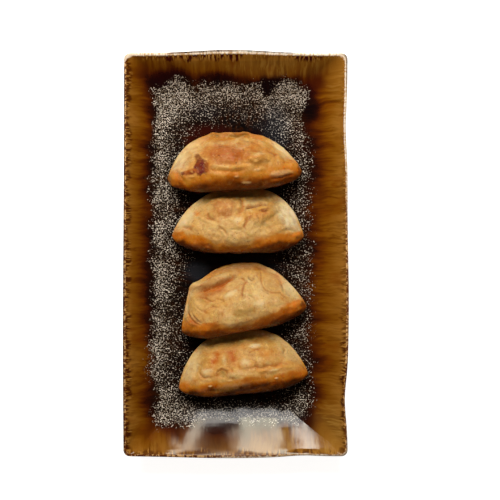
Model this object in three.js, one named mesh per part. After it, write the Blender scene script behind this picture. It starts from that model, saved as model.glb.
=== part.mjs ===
// Four pan-fried half-moon dumplings lying on their sides, in a row on a glazed rectangular plate.
// Millimetres, +Z up. The origin is under the middle of the plate, on the surface it stands on.
// +X runs across the plate, and +Y along it, towards the side that every dumpling's sealed edge points to.
import * as THREE from "three";

// ---------- Plate ----------

const PLATE = {
  width: 134.8,
  length: 242.6,
  height: 21.0,
  floorHeight: 6.0, // top of the well's floor
  wallReach: 31.0, // from the rim's outer edge in to where the floor is flat
  wallTop: 22.6, // where the wall's curve would end at the outer edge, above the rounded rim
  wallPower: 1.85, // how hollow the wall's curve is
  rimRound: 1.2, // radius of the rounding of the rim
  rimStart: -40, // degrees from the top at which the wall runs into that rounding
  rimCorner: 3.8, // corner radius in plan at the rim
  wellCorner: 14.0, // and where the floor is flat
  wellShift: -2.0, // the well lies this far to one side, so one long wall is broader
  undersideHeight: 2.6,
  undersidePower: 1.7,
  footInset: 22.0,
  footWidth: 4.0,
  footRecess: 1.6,
  footCorner: 9.0,
};

// Hand-shaped swells of each edge: how far it stands out, where along the edge, and over what width.
const SWELLS = {
  right: [
    { at: 77, out: -1.1, width: 18 },
    { at: -29, out: 0.8, width: 36 },
    { at: -87, out: -1.7, width: 15 },
  ],
  left: [{ at: -50, out: 0.7, width: 75 }],
  far: [{ at: -4, out: 2.0, width: 30 }],
  near: [
    { at: -4, out: 1.3, width: 40 },
    { at: 40, out: -0.8, width: 12 },
  ],
};
const SWELL_FADE = 10; // inset at which the swells have died away
const RIM_WAVE = 0.35; // the rim rises and falls this much
const RIM_WAVES = 5;
const WAVE_FOOT = 14.0; // height at which the rim's wave begins

const CORNER_STEPS = 5;
const SHORT_SIDE_STEPS = 11;
const LONG_SIDE_STEPS = 18;
const WALL_STEPS = 8;
const RIM_STEPS = 4;
const OUTER_STEPS = 4;

// ---------- Dumplings ----------

// Sizes that all four share.
const DOUGH = {
  sealThickness: 2.4, // two layers of dough pressed together
  sealRound: 0.06, // share of a side taken by the edge's rounding
  sealBand: 3.4, // width of the pressed band, which holds no filling
  sealLift: 1.5, // the sealed edge's middle lies this far above the floor
  ridge: 3.0, // the thickest line lies this far in from the line between the ears
  bellyPower: 2.1, // 2 is a round belly, more is a boxy one
  sidePower: 1.9,
  sideFullness: 1.15,
  press: 0.6, // the underside is pressed flat by this much
  floorGap: 0.3,
  earDroop: 3.0,
  earShare: 0.22, // the ears take up this share of each half of the length
};

// Each dumpling: where the middle of its ear-to-ear line is and how it is turned, half the distance between
// the ears, the reach from that line to the sealed edge and to the belly, half its thickness, how full the
// arc is on either side and how far it leans, how much each ear swells and hangs towards the belly, and its
// own lumps and folds. Lumps and folds are given in the dumpling's plan, x from its middle towards the right
// ear and y towards the sealed edge.
const DUMPLINGS = [
  {
    name: "dumpling_1",
    at: [-0.8, 48.4],
    turn: 3.3,
    halfLength: 39.6,
    sealReach: 27.4,
    belly: 10.2,
    halfThick: 10.5,
    arcPower: [3.2, 2.25],
    lean: 0,
    ears: [3.4, 2.6],
    hang: [0.6, 0.6],
    edgeLumps: [],
    lumps: [
      { at: [-3, 12], size: [17, 8], rise: 1.5 },
      { at: [16, 9], size: [7, 4], rise: 1.4 },
      { at: [-2, 5], size: [20, 1.8], rise: -0.7 },
      { at: [-36, 1], size: [3.2, 3.2], rise: 1.2 },
    ],
    folds: [],
  },
  {
    name: "dumpling_2",
    at: [1.1, 11.0],
    turn: 0,
    halfLength: 39.3,
    sealReach: 30.4,
    belly: 10.6,
    halfThick: 10.2,
    arcPower: [2.4, 3.3],
    lean: 0.01,
    ears: [2.0, 1.0],
    hang: [0, 0],
    edgeLumps: [],
    lumps: [
      { at: [-7, 18], size: [10, 7], rise: 1.6 },
      { at: [14, 14], size: [8, 7], rise: 1.3 },
      { at: [-1, 9], size: [22, 4], rise: 0.6 },
    ],
    folds: [{ from: [3, 21], to: [5, 9], width: 3.5, lip: 0.5, drop: 1.0 }],
  },
  {
    name: "dumpling_3",
    at: [4.9, -39.3],
    turn: 11.7,
    halfLength: 38.2,
    sealReach: 35.0,
    belly: 7.6,
    halfThick: 10.4,
    arcPower: [2.4, 2.4],
    lean: -0.01,
    ears: [1.2, 1.6],
    hang: [0, 0],
    edgeLumps: [{ at: -0.72, out: 4.6, width: 0.14 }],
    lumps: [
      { at: [3, 12], size: [14, 10], rise: 1.4 },
      { at: [21, 16], size: [8, 6], rise: 1.2 },
      { at: [-24, 8], size: [8, 6], rise: 0.8 },
    ],
    folds: [{ from: [1.5, 25], to: [-21, 19.5], width: 6, lip: 1.6, drop: 2.2 }],
  },
  {
    name: "dumpling_4",
    at: [4.4, -76.4],
    turn: 6.1,
    halfLength: 39.2,
    sealReach: 31.2,
    belly: 8.2,
    halfThick: 10.0,
    arcPower: [2.8, 2.9],
    lean: 0,
    ears: [1.8, 1.2],
    hang: [0.6, 0],
    edgeLumps: [],
    lumps: [
      { at: [-16, 9], size: [8, 6], rise: 1.0 },
      { at: [10, 10], size: [13, 8], rise: 1.0 },
      { at: [-12, 6.4], size: [3, 3], rise: -1.2 },
    ],
    folds: [],
  },
];

const COLUMNS = 34; // from ear to ear
const SIDE_STEPS = 9; // from the sealed edge to the thickest line
const BELLY_STEPS = 5; // from the thickest line round to the middle of the belly

// ---------- Materials ----------

const glaze = new THREE.MeshStandardMaterial({ color: 0x5a3008, roughness: 0.12, metalness: 0 });
const friedDough = new THREE.MeshStandardMaterial({ color: 0xd9a763, roughness: 0.45, metalness: 0 });

// ---------- Shared helpers ----------

const smoothStep = (x) => {
  const s = Math.min(1, Math.max(0, x));
  return s * s * (3 - 2 * s);
};

function indexedGeometry(points, triangles) {
  const geometry = new THREE.BufferGeometry();
  geometry.setFromPoints(points);
  geometry.setIndex(triangles.flat());
  geometry.computeVertexNormals();
  return geometry;
}

// ---------- Plate ----------

const swell = (list, along) =>
  list.reduce((sum, s) => sum + s.out * Math.exp(-(((along - s.at) / s.width) ** 2)), 0);

// A rounded rectangle in plan, anticlockwise, always with the same count of points.
function roundedRectangle(halfWidth, halfLength, radius) {
  const corners = [
    [1, -1, LONG_SIDE_STEPS],
    [1, 1, SHORT_SIDE_STEPS],
    [-1, 1, LONG_SIDE_STEPS],
    [-1, -1, SHORT_SIDE_STEPS],
  ];
  const arcs = corners.map(([sx, sy], quarter) =>
    Array.from({ length: CORNER_STEPS + 1 }, (_, i) => {
      const angle = ((quarter - 1) * Math.PI) / 2 + (i / CORNER_STEPS) * (Math.PI / 2);
      return new THREE.Vector2(
        sx * (halfWidth - radius) + radius * Math.cos(angle),
        sy * (halfLength - radius) + radius * Math.sin(angle),
      );
    }),
  );
  return arcs.flatMap((arc, quarter) => {
    const end = arc[CORNER_STEPS];
    const next = arcs[(quarter + 1) % arcs.length][0];
    const steps = corners[quarter][2];
    const side = Array.from({ length: steps - 1 }, (_, i) => end.clone().lerp(next, (i + 1) / steps));
    return [...arc, ...side];
  });
}

// One closed ring of the plate, at an inset from the rim's outer edge.
function plateRing(inset, z, corner, shift = 0) {
  const halfWidth = PLATE.width / 2 - inset;
  const halfLength = PLATE.length / 2 - inset;
  const fade = Math.max(0, 1 - inset / SWELL_FADE);
  const rimShare = smoothStep((z - WAVE_FOOT) / (PLATE.height - WAVE_FOOT));
  return roundedRectangle(halfWidth, halfLength, corner).map((p) => {
    const towardsSide = (Math.abs(p.x) / halfWidth) ** 6 * fade;
    const towardsEnd = (Math.abs(p.y) / halfLength) ** 6 * fade;
    const outX = swell(p.x > 0 ? SWELLS.right : SWELLS.left, p.y) * towardsSide;
    const outY = swell(p.y > 0 ? SWELLS.far : SWELLS.near, p.x) * towardsEnd;
    const wave = RIM_WAVE * Math.sin(RIM_WAVES * Math.atan2(p.y / halfLength, p.x / halfWidth));
    return new THREE.Vector3(
      p.x + Math.sign(p.x) * outX + shift,
      p.y + Math.sign(p.y) * outY,
      z + wave * rimShare,
    );
  });
}

const wallHeight = (inset) =>
  PLATE.floorHeight +
  (PLATE.wallTop - PLATE.floorHeight) * (1 - inset / PLATE.wallReach) ** PLATE.wallPower;

function plateRings() {
  const rings = [];
  const round = PLATE.rimRound;
  const start = THREE.MathUtils.degToRad(PLATE.rimStart);
  const rimInset = round * (1 - Math.sin(start));
  for (let i = 0; i <= WALL_STEPS; i++) {
    const inset = PLATE.wallReach + ((rimInset - PLATE.wallReach) * i) / WALL_STEPS;
    const inward = inset / PLATE.wallReach;
    const corner = PLATE.rimCorner + (PLATE.wellCorner - PLATE.rimCorner) * inward;
    rings.push(plateRing(inset, wallHeight(inset), corner, PLATE.wellShift * smoothStep(inward)));
  }
  const outerTop = PLATE.height - round;
  for (let i = 1; i <= RIM_STEPS; i++) {
    const angle = start + (Math.PI / 2 - start) * (i / RIM_STEPS);
    rings.push(plateRing(round * (1 - Math.sin(angle)), outerTop + round * Math.cos(angle), PLATE.rimCorner));
  }
  for (let i = 1; i <= OUTER_STEPS; i++) {
    const inset = (PLATE.footInset * i) / OUTER_STEPS;
    const share = (1 - i / OUTER_STEPS) ** PLATE.undersidePower;
    const z = PLATE.undersideHeight + (outerTop - PLATE.undersideHeight) * share;
    rings.push(plateRing(inset, z, PLATE.rimCorner + ((PLATE.footCorner - PLATE.rimCorner) * i) / OUTER_STEPS));
  }
  const footInner = PLATE.footInset + PLATE.footWidth;
  rings.push(plateRing(PLATE.footInset + 0.4, 0, PLATE.footCorner));
  rings.push(plateRing(footInner - 0.4, 0, PLATE.footCorner));
  rings.push(plateRing(footInner, PLATE.footRecess, PLATE.footCorner));
  return rings;
}

function plateGeometry() {
  const rings = plateRings();
  const count = rings[0].length;
  const xs = rings.flat().map((p) => p.x);
  const ys = rings.flat().map((p) => p.y);
  const middle = new THREE.Vector3(
    (Math.min(...xs) + Math.max(...xs)) / 2,
    (Math.min(...ys) + Math.max(...ys)) / 2,
    0,
  );
  const floorCentre = new THREE.Vector3(PLATE.wellShift, 0, PLATE.floorHeight);
  const baseCentre = new THREE.Vector3(0, 0, PLATE.footRecess);
  const points = [...rings.flat(), floorCentre, baseCentre].map((p) => p.clone().sub(middle));
  const triangles = [];
  for (let k = 0; k + 1 < rings.length; k++) {
    for (let i = 0; i < count; i++) {
      const j = (i + 1) % count;
      const inner = k * count;
      const outer = inner + count;
      triangles.push([inner + i, outer + i, outer + j], [inner + i, outer + j, inner + j]);
    }
  }
  const last = (rings.length - 1) * count;
  const floorIndex = rings.length * count;
  for (let i = 0; i < count; i++) {
    const j = (i + 1) % count;
    triangles.push([floorIndex, i, j], [floorIndex + 1, last + j, last + i]);
  }
  return indexedGeometry(points, triangles);
}

// ---------- Dumplings ----------

// Height of a soft fold whose line runs between two points: it stands up to the right of the line and drops
// to the left.
function foldHeight(fold, x, y) {
  const [ax, ay] = fold.from;
  const length = Math.hypot(fold.to[0] - ax, fold.to[1] - ay);
  const dx = (fold.to[0] - ax) / length;
  const dy = (fold.to[1] - ay) / length;
  const along = ((x - ax) * dx + (y - ay) * dy) / length;
  const aside = ((x - ax) * dy - (y - ay) * dx) / fold.width;
  const ends = smoothStep((along + 0.2) / 0.4) * smoothStep((1.2 - along) / 0.4);
  const side = aside > 0 ? fold.lip * Math.exp(-aside) : -fold.drop * Math.exp(aside);
  return ends * side * Math.min(1, Math.abs(aside) * 3);
}

const lumpHeight = (lump, x, y) =>
  lump.rise * Math.exp(-(((x - lump.at[0]) / lump.size[0]) ** 2) - ((y - lump.at[1]) / lump.size[1]) ** 2);

// Half of a section in its own plane, from the sealed edge (share 0) over a side to the middle of the belly
// (share 1): how far it is from the ear-to-ear line, and from the dumpling's middle plane.
function halfSection(share, size) {
  const ridgeShare = SIDE_STEPS / (SIDE_STEPS + BELLY_STEPS);
  const seal = size.seal / 2;
  const thick = Math.hypot(size.thick, seal);
  if (share < ridgeShare) {
    const across = 1 - (share / ridgeShare) ** 1.3;
    const edge = Math.max(0, (across - 1) / DOUGH.sealRound + 1);
    const filled = Math.min(1, across * size.filledShare);
    const filling = size.thick * (1 - filled ** DOUGH.sidePower) ** DOUGH.sideFullness;
    return [
      size.ridge + (size.reach - size.ridge) * across,
      Math.hypot(filling, seal * Math.sqrt(1 - edge ** 2)),
    ];
  }
  const angle = ((share - ridgeShare) / (1 - ridgeShare)) * (Math.PI / 2);
  const power = 2 / DOUGH.bellyPower;
  return [size.ridge - size.belly * Math.sin(angle) ** power, thick * Math.abs(Math.cos(angle)) ** power];
}

function sizesAt(d, t) {
  const away = Math.abs(t);
  const end = t < 0 ? 0 : 1;
  const near = Math.max(0, 1 - (1 - away) / DOUGH.earShare);
  const ear = d.ears[end] * smoothStep(near) * Math.sqrt(1 - near ** 4);
  const edgeLump = d.edgeLumps.reduce((sum, l) => sum + l.out * Math.exp(-(((t - l.at) / l.width) ** 2)), 0);
  const ridge = DOUGH.ridge * (1 - away ** 2) + 0.5 * ear;
  const arc = (1 - away ** d.arcPower[end]) ** 0.8;
  const reach = Math.max(ridge + 0.05, d.sealReach * arc * (1 + d.lean * t) + edgeLump);
  const band = Math.min(DOUGH.sealBand, 0.3 * (reach - ridge));
  return {
    reach,
    ridge,
    filledShare: (reach - ridge) / (reach - ridge - band),
    belly: (d.belly + DOUGH.ridge) * (1 - away ** 3.4) ** 0.8 + ear,
    thick: d.halfThick * (1 - away ** 2.2) ** 0.75 + 0.5 * ear,
    seal: DOUGH.sealThickness * Math.min(1, 4 * (1 - away)),
    hang: d.hang[end] * smoothStep((away - 0.6) / 0.4),
  };
}

function dumplingGeometry(d) {
  const halfSteps = SIDE_STEPS + BELLY_STEPS;
  const around = 2 * halfSteps;
  const tilt = Math.atan2(d.halfThick - DOUGH.press - DOUGH.sealLift, d.sealReach - DOUGH.ridge);
  const middleHeight = d.halfThick * Math.cos(tilt) + DOUGH.ridge * Math.sin(tilt) - DOUGH.press;
  const place = (t, r, w, hang) => {
    const y = r * Math.cos(tilt) + w * Math.sin(tilt) - hang;
    const x = d.halfLength * t;
    const z = middleHeight - r * Math.sin(tilt) + w * Math.cos(tilt) - DOUGH.earDroop * t ** 4;
    if (w <= 0) return new THREE.Vector3(x, y, Math.max(0, z));
    const relief =
      d.lumps.reduce((sum, lump) => sum + lumpHeight(lump, x, y), 0) +
      d.folds.reduce((sum, fold) => sum + foldHeight(fold, x, y), 0);
    const room = Math.min(1, w / 3);
    return new THREE.Vector3(x, y, Math.max(0, z + relief * room));
  };
  const points = [place(-1, 0, 0, d.hang[0])];
  for (let j = 1; j < COLUMNS; j++) {
    const t = -Math.cos((Math.PI * j) / COLUMNS);
    const size = sizesAt(d, t);
    for (let i = 0; i < around; i++) {
      const share = (i <= halfSteps ? i : around - i) / halfSteps;
      const [r, w] = halfSection(share, size);
      points.push(place(t, r, i <= halfSteps ? w : -w, size.hang));
    }
  }
  points.push(place(1, 0, 0, d.hang[1]));

  const triangles = [];
  const column = (j, i) => 1 + (j - 1) * around + (i % around);
  for (let i = 0; i < around; i++) {
    triangles.push([0, column(1, i + 1), column(1, i)]);
    triangles.push([points.length - 1, column(COLUMNS - 1, i), column(COLUMNS - 1, i + 1)]);
    for (let j = 1; j + 1 < COLUMNS; j++) {
      triangles.push([column(j, i), column(j, i + 1), column(j + 1, i + 1)]);
      triangles.push([column(j, i), column(j + 1, i + 1), column(j + 1, i)]);
    }
  }
  return indexedGeometry(points, triangles);
}

// ---------- Assembly ----------

const group = new THREE.Group();

const plate = new THREE.Mesh(plateGeometry(), glaze);
plate.name = "plate";
group.add(plate);

for (const d of DUMPLINGS) {
  const mesh = new THREE.Mesh(dumplingGeometry(d), friedDough);
  mesh.name = d.name;
  mesh.position.set(d.at[0], d.at[1], PLATE.floorHeight + DOUGH.floorGap);
  mesh.rotation.z = THREE.MathUtils.degToRad(d.turn);
  group.add(mesh);
}

export default group;
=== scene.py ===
"""Looks for a plate of pan-fried dumplings: finely shaped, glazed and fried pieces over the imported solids.

Lengths in the tables are millimetres and turns are degrees. A dumpling's own plan has x from its middle
towards the right ear and y towards the sealed edge. Tables of marks are text, which table() reads.
"""
import math
from types import SimpleNamespace as Sizes

import bpy
import numpy as np
from mathutils import Matrix, Vector


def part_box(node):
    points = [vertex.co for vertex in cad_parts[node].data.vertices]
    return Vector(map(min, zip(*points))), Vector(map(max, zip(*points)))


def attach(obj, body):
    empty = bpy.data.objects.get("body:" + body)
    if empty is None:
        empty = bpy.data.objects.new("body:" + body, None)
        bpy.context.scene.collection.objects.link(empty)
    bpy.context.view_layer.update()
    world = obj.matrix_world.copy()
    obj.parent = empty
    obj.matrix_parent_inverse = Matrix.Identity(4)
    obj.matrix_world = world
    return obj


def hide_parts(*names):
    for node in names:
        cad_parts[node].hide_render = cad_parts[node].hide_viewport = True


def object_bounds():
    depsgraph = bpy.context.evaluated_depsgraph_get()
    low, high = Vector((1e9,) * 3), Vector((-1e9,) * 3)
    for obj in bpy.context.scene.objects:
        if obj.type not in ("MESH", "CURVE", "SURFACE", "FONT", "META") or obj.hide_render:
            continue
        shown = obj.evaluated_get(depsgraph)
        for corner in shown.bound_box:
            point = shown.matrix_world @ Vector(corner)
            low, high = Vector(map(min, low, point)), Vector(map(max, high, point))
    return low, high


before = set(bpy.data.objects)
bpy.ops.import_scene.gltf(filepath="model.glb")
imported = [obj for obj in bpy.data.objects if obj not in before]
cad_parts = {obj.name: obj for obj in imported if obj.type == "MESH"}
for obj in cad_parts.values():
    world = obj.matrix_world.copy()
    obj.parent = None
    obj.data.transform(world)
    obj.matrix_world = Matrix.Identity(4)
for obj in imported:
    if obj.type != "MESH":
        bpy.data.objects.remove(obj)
cad_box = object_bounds()
MM = 0.001

# ---------- Sizes ----------

# rim_start is in degrees, and the powers are of curves.
PLATE = Sizes(
    width=134.8, length=242.6, height=21, floor=6, wall_reach=31, wall_top=22.6, wall_power=1.85,
    rim_round=1.2, rim_start=-40, rim_corner=3.8, well_corner=14, well_shift=-2, under=2.6, under_power=1.7,
    foot_inset=22, foot_width=4, foot_recess=1.6, foot_corner=9,
)
HALF_WIDTH, HALF_LENGTH = PLATE.width / 2, PLATE.length / 2
# Swells of each edge: where along it, how far out, over what width.
SWELLS = dict(
    right="77 -1.1 18; -29 .8 36; -87 -1.7 15",
    left="-50 .7 75",
    far="-4 2 30",
    near="-4 1.3 40; 40 -.8 12",
)
SWELL_FADE = 4.5
RIM_WAVE, RIM_WAVES, WAVE_FOOT = 0.35, 5, 18.5
CORNER_STEPS, SHORT_STEPS, LONG_STEPS = 12, 130, 230
WELL_RINGS, WALL_RINGS, RIM_RINGS, OUTER_RINGS, BASE_RINGS = 24, 72, 13, 30, 12
MIDDLE_HALF = 4  # half width of the innermost ring, which a fan of faces closes
# Across the foot, as a share of its width, and how high it is there.
FOOT_PROFILE = [(0.02, 1.4), (0.06, 0.35), (0.12, 0.05), (0.2, 0), (0.8, 0), (0.88, 0.05), (0.94, 0.35)]
UNEVEN = 0.1  # how much the hand-made well and wall rise and fall
STREAK_REACH = 30
NEAR_CREASE = 25  # degrees that the near wall turns at once where it meets the long walls

DOUGH = Sizes(
    seal=2.4, seal_round=0.06, seal_band=3.4, seal_lift=1.5, ridge=3, belly_power=2.1,
    side_power=1.9, side_fullness=1.15, press=0.6, droop=3,
)
# Where the crystals start, in from each edge, and the part of the well that has none.
CRYSTAL_BORDER = Sizes(left=15.8, right=21.2, far=16.5, near=17.5)
BARE_MIDDLE = (-30, -91), (27.5, 80)
CRYSTAL_CORNER, MIDDLE_CORNER = 11, 14
# How far in from each edge the glaze has run dark.
RUN = dict(left=17.6, right=21.6, far=16.4, near=17.5)
# Where the crystals reach further out, or less far: middle, half sizes, turn and how far.
GROWTH = """
    -35,106 5.5,6 0 4; 32,103 6,6 0 5.5; 19,97 4,7.5 0 -7; -50,98 5,8 40 2.5; 46,84 5,9 0 -7;
    -54,90 5,9 0 -3.5; 38,92 4,5 0 3; -50,-88 6,10 35 -5; -33,-100 7,5 0 3; -8,-104 12,6 0 -3"""
INNER_GROWTH = "26,79 9,9 0 8; -4,-96.5 34,6 0 11"
COLUMNS, SIDE_STEPS, BELLY_STEPS = 300, 84, 48
AROUND = 2 * (SIDE_STEPS + BELLY_STEPS)
REST_GAP = 0.06  # how far above the plate the fried pieces lie
# Along each side, in mm from its middle and with a value there: how dark the ticks inside the rim are, how
# much of the rim is cream, and how dark its outer edge is.
TICKS = dict(
    far="-66 .2; -45 .6; -40 1; 2 1; 8 .3; 30 .35; 35 1; 50 .9; 54 .2",
    near="-66 .6; 30 .8; 66 .4",
    left="-120 .9; 120 .8",
    right="-120 .7; -75 .9; -55 .8; -40 .5; 60 .35; 120 .2",
)
CREAM = dict(
    far="-66 1; 66 1",
    near="-66 0; -16 .1; -6 .5; 30 .55; 40 .8; 66 .6",
    left="-120 .25; -105 0; 112 0; 119 .9",
    right="-120 .5; -70 .15; 20 .3; 50 .7; 70 1; 120 1",
)
OUTLINE = dict(
    far="-66 0; -42 0; -39 1; 35 1; 38 0; 62 0; 66 .7",
    near="-66 .2; 20 .3; 66 .6",
    left="-120 .8; 100 .8; 118 .2",
    right="-120 .6; 0 .3; 95 .2; 104 .9; 120 .9",
)
# Soft patches in the glaze: middle, half sizes, turn and strength. The shade patches are painted shade on
# the near wall, and the cool ones grey the glaze, partly as a painted sheen.
STAINS = dict(
    dark="""
    -41,106 12,6 10 .9; -12,107 13,4 0 .6; 22,103 12,4.5 0 .6; 12,73 5.5,4 0 1; 44,94 6,9 20 .5;
    -12.5,-105.5 9,5.2 0 1; -14,-112 7,5 0 .35; 60.5,92.7 7,.7 4 .6""",
    red="""
    -42,110 9,6.5 30 .65; -17,74 14,5.5 0 .9; -27,69 5,6 0 .9; 46,104 6,12 -38 .7; 40,72 5,12 0 .4;
    -44,-103 9,4 -42 .6; -12,-107 11,7 0 .6""",
    cool="24,76 8,14 0 .8; -24,-10 7,6.5 0 1; 17,-7 12,5 0 .4; -20,88 9,5 0 .3; 4,-98 32,7 0 .7",
    shade="-40,-113 18,12 0 .35; -16,-112 18,12 0 1; 12,-112 18,12 0 .4",
    light="18,113 22,4.5 0 .6; 45,113 12,4.5 0 .5; 57,-108 9,16 0 1; 31,-112 5,9 0 .7; 60,106 6,10 0 .4",
)
# The window that the glaze mirrors, 0.5 m beyond the middle. A pane: name, ends along X in mm, foot and top
# in m, watts a square metre, colour, and how far it leans to the right. A sky pane: ends, foot and top.
WINDOW_PLANE = 0.5
SKY_STRENGTH, SKY_COLOUR = 15, (252, 250, 248)
SKY_PANES = [
    (-85, -66, 0.75, 1.8), (-66, -48, 0.97, 2.3), (-48, -42, 0.56, 1.7), (-42, -34, 0.66, 1.15),
    (-34, -28, 0.7, 1.4), (-28, -15, 0.68, 2.7), (-15, -5, 0.78, 2.1), (-5, 8, 0.97, 3), (8, 19, 0.97, 2.4),
    (19, 31, 0.97, 2.8), (31, 43, 0.97, 3.1), (43, 54, 0.55, 3), (54, 65, 0.6, 2.3), (65, 92, 0.97, 2.1),
]
WINDOW_PANES = [
    ("pane_left", -66, -48, 0.16, 1, 29, (255, 246, 222), 1.2),
    ("pane_soft", -15, -5, 0.16, 0.8, 9, (255, 236, 206), 0),
    ("pane_middle", -5, 43, 0.14, 1, 33, (255, 248, 222), 0),
    ("pane_right", 64, 86, 0.14, 1, 44, (255, 250, 234), 0),
] + [(f"pane_sky_{i}", *place, SKY_STRENGTH, SKY_COLOUR, 0) for i, place in enumerate(SKY_PANES)]
# Places and sizes in metres; the lens, the sensor and the floor in mm.
KEY_LIGHT = dict(place=(-0.1, 0.62, 0.74), target=(0, 0, 0.01), size=(0.6, 0.45), power=12.6)
FILL_COLOUR, FILL_STRENGTH = (252, 242, 224), 0.18
CAMERA_PLACE, CAMERA_LENS, CAMERA_SENSOR = (0.0085, 0.0024, 0.73), 85, 36
FLOOR_HALF, FLOOR_DROP, FLOOR_GLOW = 3000, 0.2, 0.85

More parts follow.
